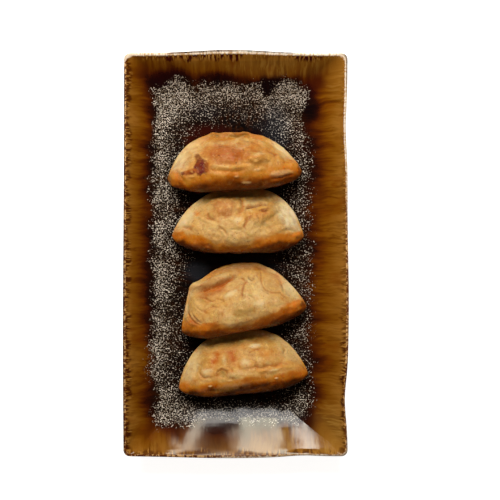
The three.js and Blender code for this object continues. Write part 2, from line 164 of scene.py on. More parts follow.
# Each dumpling: its CAD sizes; how much each ear swells and hangs towards the belly; how much wider it is
# than its CAD node; how fried its skin is, its base, and its base's lowest part. Below its ridge line it lay
# in the pan. Rows of edge: place, how far out, width. Folds: two ends, width, lip, drop. Lumps: middle,
# half sizes, height. Lines: colour, width, height, strength, points. Domes: middle, half sizes, turn,
# height. Paint: colour, middle, half sizes, turn, strength, how softly it ends.
DUMPLINGS = {
    "dumpling_1": Sizes(
        turn=3.3, half=39.6, reach=27.4, belly=10.2, thick=10.5, lean=0, arc=(3.2, 2.25), ears=(3.4, 2.6),
        hang=(0.6, 0.6), spread=1.03, tone=0.38, crust=0.155, burnt=0.34,
        edge="", folds="",
        lumps="-3,12 17,8 1.5; 16,9 7,4 1.4; -2,5 20,1.8 -.7; -36,1 3.2,3.2 1.2",
        ridge="-38 2.6; -32 2.4; -28 -1; -15 1.2; -1 .4; 12 .6; 20 2; 30 4.8; 38 4.6",
        # The gold and pale lines along the ridge below the middle are painted highlight on that ridge.
        lines="""
    pale 1.1 .5 .5 -17,20.4 -14.5,19.2 -10.8,18.3 -6.4,19.3 -1.1,18.8 .8,20.2;
    rust 1.2 -.35 .4 -12,16.4 -6,17.3 -.8,16.6;
    pale .9 .35 .5 9.2,18.4 8,21 5.3,22 2.4,20.8 1.3,18.2 2.3,15.6 5.3,14.4 8.1,15.6 9.2,18.4;
    pale 1 .45 .45 9.8,21 13,20 17,17.6 19.5,15.2;
    rust 1 -.35 .35 10.5,18.6 14,17.2 17,14.8;
    olive .7 -.9 .7 -3,23.6 3.4,22.8 7.9,24.6 10.4,22.8;
    olive .7 -.5 .5 -14,24 -10,24.6 -7.6,23.4;
    orange 1.3 -.55 .6 -16,2.2 -8.5,1.8 -1,.8 8,1.2;
    gold 1.6 .7 .45 -15.3,5.6 -8.4,4.6 -.9,3.2 6,3.6 12,4.6;
    pale .6 .1 .55 -12.6,5 -7.4,4.4 -2,3.4;
    rust .9 -.45 .7 19,13.1 21.7,11.9 24.8,10.1 23.1,8.1;
    rust 1.2 -.4 .35 5.5,6.6 8,9.6 11.5,12.3 15.5,12.6 19,11.2;
    tan 1.3 -.4 .35 -30.5,3 -29,8 -26,12.4 -22,15.6 -17,18.4;
    tan 1.2 -.35 .3 31.5,6 28.4,9.2 25,12.4 20.6,15.8;
    tan .7 .3 .5 -28,13.6 -25.8,15 -24.6,12.8 -26.6,11.4;
    rust 1 -.7 .4 -34.5,4.4 -32.4,1.2 -30.5,-2.6;
    rust .7 -.25 .85 20.5,-5.4 26,-4.4 31,-3 35.4,-2.6""",
        domes="""
    -4.5,11.6 10.5,5 -4 -.7; 5.3,18.2 3.8,3.6 0 .5; 14,8.2 7.4,4.4 6 1.5; 34,2.2 6,4.6 -10 1;
    -36,-2.4 3.8,4.4 0 1; 26.8,-2 5.6,2.2 8 .9; .9,-2.5 2,1.1 0 .5; 14,1 2.6,1.2 4 .45;
    6.6,-6.6 3.2,1.3 0 .7; -24.8,-1 2.2,.9 0 .4; -19.6,5.4 3.2,4.8 12 .35; -11.5,24.8 3,2 10 .6;
    -3,26.4 4,1.5 0 .6; 7.5,25.8 3,1.5 -8 .7; 16.5,21.8 4,2 -28 .5""",
        # The pale spot on the bulge right of the middle and the small pale dashes on the base's little domes
        # are painted highlight.
        paint="""
    rust -4.5,12.4 12.5,6.6 -4 .85 .5; rose -4,14.2 9.5,4.6 -4 .5 .6; rust 9.5,14.5 5.5,4 0 .3 .7;
    tan 5.3,18.4 3.2,2.8 0 .5 .6; gold 14,9.4 4.6,2.4 2 .6 .6; pale 14.2,10.4 3.4,1.2 4 .85 .6;
    cream -27,14 12,4.6 44 .5 .8; milk -32,8 4.6,5.6 -14 .5 .8; cream 29.6,12.8 7,3.2 -46 .8 .8;
    olive 21,17.8 6,2.6 -38 .2 .7; rust 1.7,10.2 4.4,2.2 0 .7 .6; brown 1.7,10.4 1.7,1.1 0 .4 .5;
    brown -18.9,5.2 4,5.2 12 1 .18; char -19.2,4.8 3.3,4.4 20 1 .3; brown -20.6,10.2 1.9,2.6 10 .8 .3;
    rust -15.6,4.2 1.6,3.6 0 .6 .5; rust -25.8,1.9 4.8,1.6 8 1 .3; char -25,1.6 3.4,1 8 .7 .4;
    char -30,1.4 1.2,1 20 1 .3; orange 34,2.2 7,4.6 -8 .85 .4; orange -36,-2 4.4,5 0 .9 .4;
    gold -36.4,.4 2.6,2 0 .7 .6; gold 33.5,3.4 4.4,2 -10 .6 .6; rust 38.4,1 1.6,2.6 0 .5 .5;
    pale 27,-1.4 5.4,1.6 8 .6 .5; rose 26,-2.6 5,1 8 .5 .5; pale 6.6,-6.2 2.4,.7 0 .45 .5;
    rust 6,-8.2 3.2,.9 0 .7 .45; pale .9,-2.3 1.5,.6 0 .5 .5; pale 14,1.2 2,.7 4 .5 .5;
    char 6,13.3 .6,.6 0 .9 .4; brown 1.4,6.1 .5,.4 0 .9 .4; brown -8.5,11.2 .5,.4 0 .9 .4;
    olive 0,25.5 22,4 0 .4 .6""",
    ),
    "dumpling_2": Sizes(
        turn=0, half=39.3, reach=30.4, belly=10.6, thick=10.2, lean=0.01, arc=(2.4, 3.3), ears=(2, 1),
        hang=(0, 0), spread=1.018, tone=0.31, crust=0.28, burnt=0.52,
        edge="", folds="3,21 5,9 3.5 .5 1",
        lumps="-7,18 10,7 1.6; 14,14 8,7 1.3; -1,9 22,4 .6",
        ridge="""
    -39 1.4; -33 3.2; -29.4 1.4; -19.9 -.6; -13.8 -4.4; -1.5 -6; 6.3 -4.4; 14.6 -.8; 25.7 1.6; 39 2""",
        lines="""
    rust .9 -.9 .55 1,23.8 2.6,20.8 3.2,17.8 2,14.8 -.8,12.6;
    brown .85 -1 .75 4,14.2 5.4,16.4 9,18 14.1,18.9 19.4,18.2;
    rust .6 -.55 .75 6.6,15 8.2,11.8 6,9.4 4.9,7.6 3.6,5.4 5.1,3.2;
    rust .5 -.4 .6 8.2,12 5.4,10.8 4.2,8.4;
    rust .6 -.3 .35 10.4,11.6 12.6,9.6 12.8,7.2;
    brown .7 -.4 .6 11.5,14.8 15.4,14.4 18.8,16.2;
    olive .8 -.3 .45 25.2,16.6 21.8,12.2 17.4,8.3;
    rust .7 -.5 .5 -17.7,14.5 -17.7,12 -16,9.9 -12.7,8.8;
    olive .6 -.3 .4 -25,12 -21.5,9 -17,6.8;
    rust .6 -.45 .4 -11,4.9 -8.2,3.3 -5.4,-.6;
    olive .5 -.3 .5 -4.9,3.8 .7,3.3 3.5,4.5;
    pale .8 .4 .5 -10,9 -5,9.8 -.5,8;
    rust .8 -.6 .6 -33,5.4 -29.4,4.6 -26.4,3.2;
    olive .9 -.5 .55 27,3.4 31,3.6 35.5,2.4""",
        domes="""
    -7.5,17.2 9,6.2 0 2.3; 14,12.6 8,5.8 10 1.5; 15.4,14.4 2,1.7 0 -.7; 31,12 5.5,8 25 .6;
    -34.4,2.4 4.5,2.2 8 .8; 36,.4 4.2,1.8 14 .8; -4.9,-1.5 8,3.8 0 .8; -12,5.5 4,2.5 20 .45;
    -24,6 4,3 0 .5; -18,-7.5 2.2,1.2 -10 .5; 24,8 3.5,5 20 .5; -28,14 3,4 -40 .4""",
        # The olive and brown band along the middle of the sealed edge is painted shadow cast by the first
        # dumpling, and the pale dash on the left ear is painted highlight.
        paint="""
    pale -3,5 15,4 0 .45 .7; tan -10.5,17 9.5,7 5 .45 .6; rust -12.5,13.5 5.5,4 30 .3 .7;
    rose -7.2,20 6.6,3.8 0 .65 .6; rust -6,13.2 3,2.4 0 .65 .6; olive -16.5,11.5 2.6,2 0 .4 .6;
    orange -24.4,13.3 1.8,1.3 0 .6 .6; cream 7.5,20.6 5.5,1.8 10 .6 .6; pale 19,22.6 5,2 8 .5 .7;
    olive 23,19 4.6,3 -30 .3 .7; gold 14.5,13 7,4.6 6 .5 .6; brown 15.4,14.2 1.9,1.4 -20 .8 .5;
    rust 12.5,12 3.6,1.8 20 .35 .7; cream .2,9.4 2.8,1.4 20 .7 .6; milk 30.4,11.4 9,5.4 -62 .95 .65;
    cream -31.5,9.6 6.6,3.2 52 .85 .8; pale -23,18.5 7,2.4 40 .4 .7; orange -35.8,.2 4.4,3.2 4 .8 .4;
    pale -34,3 2.8,.9 10 .6 .5; orange 35.6,.8 4.8,1.6 14 .85 .4; gold 33.5,1.6 2.6,.6 10 .6 .5;
    orange 26,-1.2 10.5,2.2 8 .4 .6; orange -24,-3 9.5,2.4 -14 .4 .6;
    brown -17.7,-5.8 3.4,1.4 -15 .6 .5; rust 12.4,-2.4 3.4,2.2 25 .5 .6; pale -4.9,-2 8.5,2.8 0 .4 .6;
    rose -24.5,-6.6 3.6,.9 -18 .4 .6; olive 0,24.5 20,5 0 .7 .6; brown 2,25.5 20,5 0 .3 .7;
    rust 0,-7 24,2.8 0 .35 .7""",
    ),
    "dumpling_3": Sizes(
        turn=11.7, half=38.2, reach=35, belly=7.6, thick=10.4, lean=-0.01, arc=(2.4, 2.4), ears=(1.2, 1.6),
        hang=(0, 0), spread=1.012, tone=0.29, crust=0.29, burnt=0.52,
        edge="-.72 4.6 .14", folds="1.5,25 -21,19.5 6 1 1.6",
        lumps="3,12 14,10 1.4; 21,16 8,6 1.2; -24,8 8,6 .8",
        ridge="-38 4.6; -26 2.6; -15 1.4; -9 -1.5; 0 -2.8; 6 -2; 14.8 .4; 27.2 3; 38.4 4",
        # Along the fold, the pale line on its crest is painted highlight, and the ember and rust bands under
        # its lip are painted shadow over a real groove.
        lines="""
    pale 2 2 .6 -29,24.6 -22,24.8 -15,25.4 -8,26.8 -1,28.6;
    ember 2.8 -.5 .8 -23,19.4 -17,19.8 -11,20.6 -5.5,22.4;
    rust 1.1 -1.9 .85 -26,20.6 -20,21.8 -14,22.4 -8,23.4 -3.5,25 .5,26.6;
    rust .55 -.5 .7 2.4,25.9 4.6,23.2 5.9,21.6 3.8,19.6 2.2,16.1 1.4,11.8;
    rust .5 -.4 .4 12.9,29.2 16,26 14.9,22.5 14.6,19 15.8,15.2 19,12.5 24,11 25.8,8.2 28,6.5;
    rust .7 -.4 .35 17.8,24.4 22.5,22.5 25.6,18.6 26.6,14 26.6,10.4;
    rust .6 -.7 .75 -32.6,11.2 -31.6,7.6 -28.8,3.9 -25.7,1.9;
    brown .55 -.6 .7 -29.8,8.9 -27.3,4.8 -24.6,2.6;
    gold .6 .4 .5 -34.5,8.6 -32.5,5 -30,2.4;
    rust .6 -.45 .6 -24.5,18.2 -20.5,17.2 -17.5,14.8 -14,13.6;
    rust .5 -.35 .45 -18.5,13.6 -13.5,15.2 -9.5,13.4;
    rust .5 -.35 .4 -22,10 -16.5,11.4 -12,9.4;
    rust .5 -.3 .35 -26.5,13 -24.2,10.4 -20.6,8;
    brown .5 -.6 .6 7.9,25.4 7.6,23.2 9,21.8 11.4,22.4;
    pale .9 .4 .5 12.2,27 12.2,22 11.6,18;
    olive .5 -.3 .4 5,14 8.4,11.8 9.6,8.8""",
        domes="""
    -5.5,16.2 5.4,2.6 22 .9; 10,23.8 1.8,1.8 0 .5; 21,17.2 5.4,5.4 0 -.4; 8,9 7,5 0 .6;
    -27,14.5 3,2.6 0 .5; -20.9,16.6 2.6,1.6 0 .5; 33.5,3 5,2.8 8 .8; -32.5,3 4.5,2.6 20 .7;
    5,16 3.6,3.4 0 .5; -2.1,4 4.5,2.2 0 -.35; 22,7 4,3 10 .5; -14,8 5,3 0 .4""",
        # The cream spot on the flap below the fold is painted highlight.
        paint="""
    gold -20,12 11,8 10 .25 .7; tan -14,26.4 14,3 4 .5 .6; pale 9,12.5 9,8 10 .55 .7;
    tan 20.9,17.4 4.8,4.6 0 .5 .6; orange -24,24.6 6,1.4 4 .3 .6; orange -31.5,19 1.8,6 -12 .35 .6;
    cream -4.8,16.4 3.8,1.6 24 .9 .5; olive -21.5,16.6 2.6,1.6 10 .4 .6; tan -1,21 2.8,2.4 0 .5 .6;
    cream 31.6,10.8 6.8,3.6 -50 .75 .5; cream 10.6,7.4 3.4,2 0 .65 .6; rust 5.8,30.6 6,1.6 -4 .35 .6;
    rose 17,27.4 2.6,1.6 -20 .5 .6; orange 25.5,19.5 3.4,2.4 -50 .3 .7; orange -34.2,3.2 4.2,3 15 .8 .4;
    orange -23.5,.6 7.5,2.2 -4 .85 .45; rust -17.4,.8 3.4,1.6 0 .6 .5; rust -30,3.4 2.2,1.4 -30 .5 .5;
    orange 31.5,2.4 7,2.6 6 .9 .35; rust 23,-.2 8,1.6 8 .6 .5; orange 14,-2 7,1.8 6 .6 .6;
    brown 36.4,1.6 1.8,1.8 0 .85 .4; pale -5.5,-.4 6.5,2.4 0 .4 .6; olive -2.1,4.4 3.4,2.2 0 .65 .5;
    olive 6,5 4.4,1.4 8 .4 .6; pale -8.5,3.2 3,1.4 0 .5 .6; rust 4,-6 14,1.6 4 .35 .6;
    rust -24,-4 10,1.6 -4 .45 .6; pale 2,31 16,4 0 .35 .7; rust 4,-3.4 24,2.8 5 .4 .7""",
    ),
    "dumpling_4": Sizes(
        turn=6.1, half=39.2, reach=31.2, belly=8.2, thick=10, lean=0, arc=(2.8, 2.9), ears=(1.8, 1.2),
        hang=(0.6, 0), spread=1.008, tone=0.34, crust=0.275, burnt=0.52,
        edge="", folds="",
        lumps="-16,9 8,6 1; 10,10 13,8 1; -12,6.4 3,3 -1.2",
        ridge="-38.2 2.4; -26.9 1.8; -16.3 2.4; -7.2 1.4; 4.7 2.8; 16.7 2.4; 28.3 2.8; 37.5 2.6",
        # The gold and cream lines on the ridge are painted highlight on that ridge.
        lines="""
    rust .9 -.55 .6 1.5,6 5,7.6 8.4,8.4 11.6,7 15.6,8.2 20,7.4 24,8.6 28.5,7;
    gold 1.5 .8 .6 8.6,4.6 13.5,5.4 19.2,4.8 24.5,5.6 30,5;
    cream .45 .1 .8 15.5,5 19.2,4.9 22,5.2;
    rust .5 -.5 .7 5.2,18 5.6,16.6 8.5,17.6 12.5,18.2;
    ember 1.6 -.3 1 -13.2,19.2 -14,16.6 -14.8,14.4 -18.2,12.2;
    ember 2.4 -.2 1 -5.8,18.6 -5.2,15.4 -4,12;
    rust .6 -.45 .6 -25.5,8.4 -24.6,5.4 -22.4,4.4 -19.4,4.8;
    rust .55 -.35 .55 -15.6,4 -15,7.2 -12,8.9 -9.4,7.6 -9,4.6;
    rust .6 -.4 .5 -8,10.6 -6,8.4 -5.6,6;
    rust .6 -.4 .5 5.8,13.6 8,11.8 9.2,9.4;
    olive .7 -.4 .5 24,18 26.6,15.6 25.6,13.4;
    olive .5 -.25 .4 -27,13.5 -24,11.6 -23,14.5;
    tan .9 -.3 .4 19,15.5 22,12 26,9.4""",
        domes="""
    9.2,19.6 4.4,1.7 0 .6; 2,11 4,3.6 0 .9; -20.6,7.8 4.2,3 0 .7; 10.6,12.4 4.4,3 0 .6;
    -9.6,14.5 2.2,3 0 .6; -4.6,5 4.5,2.4 0 .5; -19.6,-.8 1.6,.9 0 .5; 19.9,-.2 1.4,.9 0 .5;
    -7.7,1.3 2,1 0 .4; 33,4.6 4,2.4 -10 .6; -15,-5.6 3.4,1.4 0 .5; 2,-4.6 4,1.6 0 .5;
    18,-4.2 4.5,1.4 4 .5; -29,6.5 4,3 30 .5; 18,12 5,2.4 -10 .4""",
        # The cream dash on the dome at 9.2,19.6 is painted highlight, and the olive and brown band along the
        # middle of the sealed edge is painted shadow cast by the third dumpling.
        paint="""
    tan -8,18 14,6 0 .5 .7; olive 19,20.5 11,3.4 -14 .35 .7; olive -24,14 5,6 -30 .3 .7;
    orange 16.5,14.6 7.5,2.4 2 .35 .7; gold -9,13 8,4.5 0 .5 .7; tan -14,23.5 10,2.2 6 .5 .7;
    rose -5.6,18.6 4,1.6 0 .4 .6; cream 9.4,19.8 3.4,1.1 2 .85 .5; cream 2,11.4 3,2.2 0 .6 .6;
    pale 9.8,12.4 2.8,1.6 0 .6 .6; cream -20.8,8.2 3.2,1.7 0 .55 .6; pale -10,13.6 1.4,2.2 0 .65 .6;
    olive -12.2,6.2 2.6,2.1 0 .6 .5; cream -30,10.2 8,3.6 62 .6 .6; pale 28.5,13.6 8,3 -45 .65 .6;
    gold 31,6.6 5.5,2 -12 .5 .6; pale -2.5,4.8 6,1.6 0 .5 .7; orange -35,0 4.4,2.8 4 .75 .5;
    orange 34.2,1.4 6,2.4 4 .7 .5; rust 26,1 8,1.6 4 .5 .6; rust 4,1.6 8,1 4 .45 .6;
    pale -6,-1.4 8,1.6 2 .3 .7; olive -10,-3.6 6.5,1.6 0 .4 .7; rose -24.5,-3 3.6,1.6 0 .45 .6;
    orange -20,-5.6 9,1.6 -4 .5 .6; orange 8,-6.2 12,1.6 4 .5 .6; pale -19.6,-.5 1.3,.5 0 .6 .5;
    pale 19.9,.1 1.2,.5 0 .6 .5; pale -7.7,1.7 1.5,.5 0 .5 .5; olive -2,26.5 20,4 4 .7 .6;
    brown -2,26.5 20,4.5 4 .24 .7""",
    ),
}
# Skin colours as displayed in even light.
SKIN = dict(
    milk=(240, 222, 184), cream=(234, 210, 162), pale=(224, 192, 134), tan=(200, 154, 90),
    gold=(212, 150, 64), orange=(214, 122, 28), rust=(174, 86, 16), brown=(116, 50, 14), char=(104, 18, 26),
    rose=(186, 110, 62), olive=(160, 126, 58), ember=(192, 98, 22),
)
FRYING = [(0, (230, 210, 166)), (0.2, (222, 186, 124)), (0.35, (214, 162, 90)), (0.5, (208, 136, 42)),
          (0.65, (190, 104, 14)), (0.8, (146, 70, 2)), (1, (88, 36, 0))]
WARMTH = (0.79, 0.76, 0.67)

# ---------- Numbers ----------

RANDOM = np.random.RandomState(11)
LATTICE = np.tile(RANDOM.permutation(256), 2)
GRADIENTS = RANDOM.normal(size=(256, 3))
GRADIENTS /= np.linalg.norm(GRADIENTS, axis=1)[:, None]


def parsed(word):
    if word.isalpha():
        return word
    numbers = [float(number) for number in word.split(",")]
    return numbers if len(numbers) > 1 else numbers[0]


def table(text):
    """The rows of a table, parted by semicolons. A cell is a name, a number or a point such as 3,-2."""
    return [[parsed(word) for word in row.split()] for row in text.split(";") if row.strip()]


def smooth(x, low=0, high=1):
    s = np.clip((x - low) / (high - low), 0, 1)
    return s * s * (3 - 2 * s)


def noise(points, size, seed=0):
    """Smooth noise from about -1 to 1, with features about size across, in the points' own unit."""
    q = points / size + 31.7 * (seed + 1)
    cell = np.floor(q).astype(int)
    f = q - cell
    u = f * f * f * (f * (f * 6 - 15) + 10)
    total = np.zeros(len(points))
    for corner in range(8):
        step = np.array([corner & 1, corner >> 1 & 1, corner >> 2 & 1])
        c = (cell + step) & 255
        h = LATTICE[LATTICE[LATTICE[c[:, 0]] + c[:, 1]] + c[:, 2]]
        share = np.prod(np.where(step, u, 1 - u), axis=1)
        total += share * np.einsum("ij,ij->i", GRADIENTS[h], f - step)
    return 1.6 * total


def layered(points, size, octaves=3, seed=0):
    """Noise with ever finer and fainter noise on top."""
    return sum(noise(points, size / 2 ** k, seed + k) / 2 ** k for k in range(octaves))


def polyline(x, y, points):
    """Distance to a line through points, and how near its ends a place is: 1 along it, 0 past an end."""
    nearest, inside = np.full(x.shape, 1e9), np.zeros(x.shape)
    lengths = [math.dist(a, b) for a, b in zip(points, points[1:])]
    total, before = sum(lengths), 0
    for (ax, ay), (bx, by), length in zip(points, points[1:], lengths):
        s = np.clip(((x - ax) * (bx - ax) + (y - ay) * (by - ay)) / length ** 2, 0, 1)
        away = np.hypot(x - ax - s * (bx - ax), y - ay - s * (by - ay))
        along = (before + s * length) / total
        inside = np.where(away < nearest, np.minimum(1, 5 * np.minimum(along, 1 - along) + 0.15), inside)
        nearest = np.minimum(nearest, away)
        before += length
    return nearest, inside


def ellipse(x, y, middle, half_sizes, turn):
    """How far out a place is from the middle of an ellipse, with 1 on its outline."""
    c, s = math.cos(math.radians(turn)), math.sin(math.radians(turn))
    dx, dy = x - middle[0], y - middle[1]
    return np.hypot((dx * c + dy * s) / half_sizes[0], (dy * c - dx * s) / half_sizes[1])


def new_mesh(name, points, faces, attributes):
    mesh = bpy.data.meshes.new(name)
    mesh.from_pydata((points * MM).tolist(), [], faces)
    mesh.shade_smooth()
    for key, values in attributes.items():
        kind = "FLOAT_VECTOR" if values.ndim == 2 else "FLOAT"
        layer = mesh.attributes.new(key, kind, "POINT")
        layer.data.foreach_set("vector" if values.ndim == 2 else "value", values.astype(np.float32).ravel())
    piece = bpy.data.objects.new(name, mesh)
    bpy.context.scene.collection.objects.link(piece)
    return piece


def tube_faces(rings, count, flipped=False):
    """Faces between rings of points, with a fan at each end to one of the two points after the rings."""
    k = np.arange(rings - 1)[:, None] * count
    i = np.arange(count)[None, :]
    j = (i + 1) % count
    faces = np.stack([k + i, k + count + i, k + count + j, k + j], axis=-1).reshape(-1, 4).tolist()
    last, end = (rings - 1) * count, rings * count
    faces += [[end, a, (a + 1) % count] for a in range(count)]
    faces += [[end + 1, last + (a + 1) % count, last + a] for a in range(count)]
    return [face[:1] + face[:0:-1] for face in faces] if flipped else faces


def fit_to_node(points, node, spread=1):
    """Moves and scales points so that their box is the CAD node's, spread a little wider along X."""
    low, high = (np.array(c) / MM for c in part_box(node))
    own_low, own_high = points.min(0), points.max(0)
    fitted = low + (points - own_low) * (high - low) / (own_high - own_low)
    return fitted + (fitted - (low + high) / 2) * (spread - 1, 0, 0)


# ---------- Plate ----------


def swell(swells, along):
    """How far out an edge swells at a place along it."""
    return sum(out * np.exp(-(((along - at) / width) ** 2)) for at, out, width in table(swells))


def rounded_rectangle(half_width, half_length, radius, crease=0):
    """Its outline. The near side meets the arcs of its two corners at an angle, crease, in degrees."""
    corners = [(1, -1, LONG_STEPS), (1, 1, SHORT_STEPS), (-1, 1, LONG_STEPS), (-1, -1, SHORT_STEPS)]
    cut = crease / 90
    arcs = []
    for quarter, (sx, sy, _) in enumerate(corners):
        low, high = (cut if quarter == 0 else 0), (1 - cut if quarter == 3 else 1)
        angle = (quarter - 1 + np.linspace(low, high, CORNER_STEPS + 1)) * math.pi / 2
        drop = radius * (1 - math.cos(math.radians(crease))) if sy < 0 else 0
        arcs.append(np.c_[sx * (half_width - radius) + radius * np.cos(angle),
                          sy * (half_length - radius) + radius * np.sin(angle) - drop])
    out = []
    for quarter, (_, _, steps) in enumerate(corners):
        share = np.linspace(0, 1, steps + 1)[1:-1, None]
        end, start = arcs[quarter][-1], arcs[(quarter + 1) % 4][0]
        out += [arcs[quarter], end + (start - end) * share]
    return np.vstack(out)


def plate_ring(inset, z, corner, shift=0, crease=0):
    half_width, half_length = HALF_WIDTH - inset, HALF_LENGTH - inset
    p = rounded_rectangle(half_width, half_length, corner, crease)
    x, y = p.T
    fade = max(0, 1 - inset / SWELL_FADE)
    out_x = np.where(x > 0, swell(SWELLS["right"], y), swell(SWELLS["left"], y))
    out_y = np.where(y > 0, swell(SWELLS["far"], x), swell(SWELLS["near"], x))
    rim = smooth((z - WAVE_FOOT) / (PLATE.height - WAVE_FOOT))
    wave = RIM_WAVE * np.sin(RIM_WAVES * np.arctan2(y / half_length, x / half_width))
    return np.c_[x + np.sign(x) * out_x * (np.abs(x) / half_width) ** 6 * fade + shift,
                 y + np.sign(y) * out_y * (np.abs(y) / half_length) ** 6 * fade,
                 z + wave * rim]


def wall_height(inset):
    rise = PLATE.wall_top - PLATE.floor
    return PLATE.floor + rise * max(0, 1 - inset / PLATE.wall_reach) ** PLATE.wall_power


def plate_rings():
    """Rings from the middle of the well, up over the rim and down to the recess, each with its inset and
    which surface it is on: 1 in the well, 0 on the rim, -1 outside and -2 on the foot."""
    reach, corner, rounding = PLATE.wall_reach, PLATE.rim_corner, PLATE.rim_round
    outer_top, centre = PLATE.height - rounding, HALF_WIDTH - MIDDLE_HALF
    foot, foot_corner, recess = PLATE.foot_inset, PLATE.foot_corner, PLATE.foot_recess
    start = math.radians(PLATE.rim_start)
    rings = []
    for inset in np.linspace(centre, reach, WELL_RINGS)[:-1]:
        deeper = (inset - reach) / (HALF_WIDTH - reach)
        radius = PLATE.well_corner * (1 - deeper)
        ring = plate_ring(inset, PLATE.floor, max(1, radius), PLATE.well_shift, NEAR_CREASE)
        rings.append((inset, 1, ring))
    for inset in np.linspace(reach, rounding * (1 - math.sin(start)), WALL_RINGS):
        inward = inset / reach
        radius = corner + (PLATE.well_corner - corner) * inward
        shift = PLATE.well_shift * smooth(inward)
        crease = NEAR_CREASE * smooth(inset, 1.5, 4)
        rings.append((inset, 1, plate_ring(inset, wall_height(inset), radius, shift, crease)))
    for angle in np.linspace(start, math.pi / 2, RIM_RINGS)[1:]:
        inset = rounding * (1 - math.sin(angle))
        rings.append((inset, 0, plate_ring(inset, outer_top + rounding * math.cos(angle), corner)))
    for share in np.linspace(0, 1, OUTER_RINGS)[1:]:
        inset = foot * share
        z = PLATE.under + (outer_top - PLATE.under) * (1 - share) ** PLATE.under_power
        rings.append((inset, -1, plate_ring(inset, z, corner + (foot_corner - corner) * share)))
    inner = foot + PLATE.foot_width
    for share, z in FOOT_PROFILE + [(0.98, recess * 0.8), (1, recess)]:
        inset = foot + PLATE.foot_width * share
        rings.append((inset, -2, plate_ring(inset, z, foot_corner)))
    for inset in np.linspace(inner, centre, BASE_RINGS)[1:]:
        radius = foot_corner * (1 - (inset - inner) / (HALF_WIDTH - inner))
        rings.append((inset, -1, plate_ring(inset, recess, max(1, radius))))
    return rings


def rim_point(x, y):
    """Where on the rim a streak through a place starts: straight up each wall, with the walls mitred."""
    core_x, core_y = HALF_WIDTH - STREAK_REACH, HALF_LENGTH - STREAK_REACH
    past_x, past_y = np.abs(x) - core_x, np.abs(y) - core_y
    on_end = past_y > past_x
    return np.where(on_end, x, np.sign(x) * (core_x + past_y)), 0.5 * np.clip(y, -core_y, core_y)


def inside_rectangle(x, y, low, high, corner):
    """How far inside a rounded rectangle a place is, negative outside it."""
    dx = np.abs(x - (low[0] + high[0]) / 2) - (high[0] - low[0]) / 2 + corner
    dy = np.abs(y - (low[1] + high[1]) / 2) - (high[1] - low[1]) / 2 + corner
    return corner - np.hypot(np.maximum(dx, 0), np.maximum(dy, 0)) - np.minimum(np.maximum(dx, dy), 0)


def side_shares(x, y):
    """How much a place belongs to each side's wall; the four shares sum to 1."""
    away = dict(left=HALF_WIDTH + x, right=HALF_WIDTH - x, far=HALF_LENGTH - y, near=HALF_LENGTH + y)
    weight = {side: 1 / np.maximum(0.5, distance) ** 4 for side, distance in away.items()}
    total = sum(weight.values())
    return {side: weight[side] / total for side in weight}


def grown(distance, growth, x, y):
    """A distance, made longer around each patch of growth, or shorter."""
    for middle, half_sizes, turn, reach in table(growth):
        distance = distance + reach * (1 - smooth(ellipse(x, y, middle, half_sizes, turn), 0.3, 1.6))
    return distance


def glaze_bands(x, y, inset, shares):
    """How far down the glaze has run, 20 where it is dark; how far inside the crystals' outer edge a place
    is; and how far outside the bare middle."""
    border = sum(shares[side] * RUN[side] for side in shares)
    low = CRYSTAL_BORDER.left - HALF_WIDTH, CRYSTAL_BORDER.near - HALF_LENGTH
    high = HALF_WIDTH - CRYSTAL_BORDER.right, HALF_LENGTH - CRYSTAL_BORDER.far
    within = grown(inside_rectangle(x, y, low, high, CRYSTAL_CORNER), GROWTH, x, y)
    middle = grown(-inside_rectangle(x, y, *BARE_MIDDLE, MIDDLE_CORNER), INNER_GROWTH, x, y)
    lower_left = np.exp(-((x + 52) / 14) ** 2) * smooth(-y, 30, 60)
    return inset * 20 / border, within + 2 * lower_left, middle


def along_edge(edges, shares, x, y):
    """A value that is set along each side, in mm along it, spread over the walls."""
    places = dict(left=y, right=y, far=x, near=x)
    return sum(shares[side] * np.interp(places[side], *zip(*table(edges[side]))) for side in shares)


def stained(patches, x, y):
    """How strongly soft patches lie over a place."""
    ragged = 0.16 * noise(np.c_[x, y, 0 * x], 5, 60)
    total = np.zeros(len(x))
    for middle, half_sizes, turn, amount in table(patches):
        out = ellipse(x, y, middle, half_sizes, turn) + ragged
        total = np.maximum(total, amount * (1 - smooth(out, 0.45, 1.5)))
    return total


def unevenness(points, inset, surface):
    """How far the well and its wall are raised; the near wall has a second unevenness, low on it."""
    broad = UNEVEN * layered(points, 26, 2, seed=3) * smooth(inset, 2, 8)
    near_foot = smooth(-points[:, 1], 86, 96) * smooth(inset, 12, 22)
    return np.where(surface == 1, broad + UNEVEN * near_foot * noise(points * (1, 0.4, 1), 14, 4), 0)


def plate_attributes(x, y, inset, surface):
    """What the glaze has to know of each place, as three numbers each."""
    rim_x, rim_y = rim_point(x, y)
    shares = side_shares(x, y)
    off_mitre = np.abs(HALF_WIDTH - np.abs(x) - HALF_LENGTH + np.abs(y))
    stain = {kind: stained(patches, x, y) for kind, patches in STAINS.items()}
    return {
        "rim": np.c_[rim_x, rim_y, inset],
        "bands": np.stack(glaze_bands(x, y, inset, shares), axis=1),
        "side": np.c_[shares["right"], shares["far"], surface],
        "edge": np.stack([along_edge(edges, shares, x, y) for edges in (TICKS, CREAM, OUTLINE)], axis=1),
        "stain": np.c_[stain["dark"], stain["red"], stain["light"]],
        "corner": np.c_[1 - smooth(off_mitre, 2, 11), stain["shade"], stain["cool"]],
    }


def mark_creases(mesh, count, surface):
    """Sharp edges up the wall, where the near side meets the long ones."""
    edges = np.empty(2 * len(mesh.edges), np.int32)
    mesh.edges.foreach_get("vertices", edges)
    edges = edges.reshape(-1, 2)
    creases = np.isin(edges % count, (0, count - SHORT_STEPS)).all(1) & (edges < len(surface) - 2).all(1)
    creases &= (surface[edges] == 1).all(1)
    mesh.attributes.new("sharp_edge", "BOOLEAN", "EDGE").data.foreach_set("value", creases)


